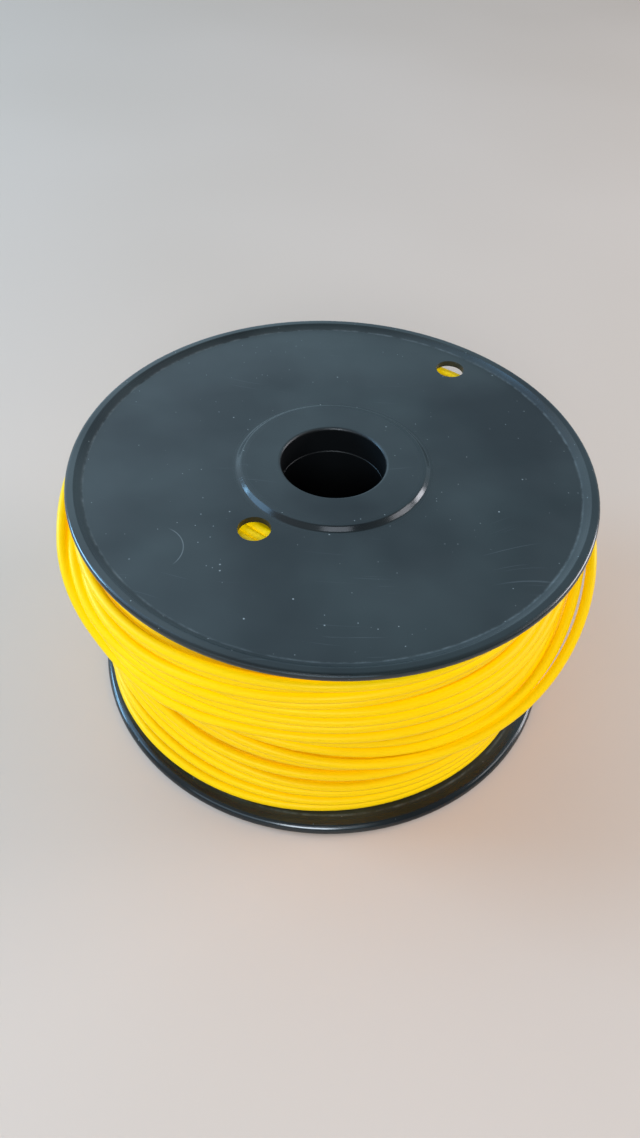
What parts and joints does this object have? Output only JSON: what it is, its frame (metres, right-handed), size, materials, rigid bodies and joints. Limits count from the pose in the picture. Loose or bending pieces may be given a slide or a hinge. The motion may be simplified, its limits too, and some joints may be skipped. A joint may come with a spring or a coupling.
{
  "type": "cord reel",
  "caption": "Round flanged plastic reel with a spindle bore and feed holes, wound with thick round cord whose outer turns are slack.",
  "frame": {"origin": "on the spindle axis, midway between the two flanges", "axes": "+Z along the spindle axis, towards the flange that is uppermost when the reel stands on its other flange; -Y towards the side where the slack turns bulge over the tight ones; +X towards the two loosest loops"},
  "size_m": [0.1603, 0.15, 0.08],
  "materials": {
    "reel_plastic": "satin moulded, slightly dusty",
    "core_plastic": "plain extruded",
    "cord": "smooth, glossy, slightly translucent"
  },
  "bodies": {
    "root": {"top_flange": "reel_plastic", "bottom_flange": "reel_plastic", "core_drum": "core_plastic", "arbor_tube": "core_plastic", "cord_inner_layers": "cord", "cord_tight_turns": "cord", "cord_slack_turns": "cord", "cord_left_loops": "cord", "cord_right_loops": "cord"}
  },
  "joints": []
}
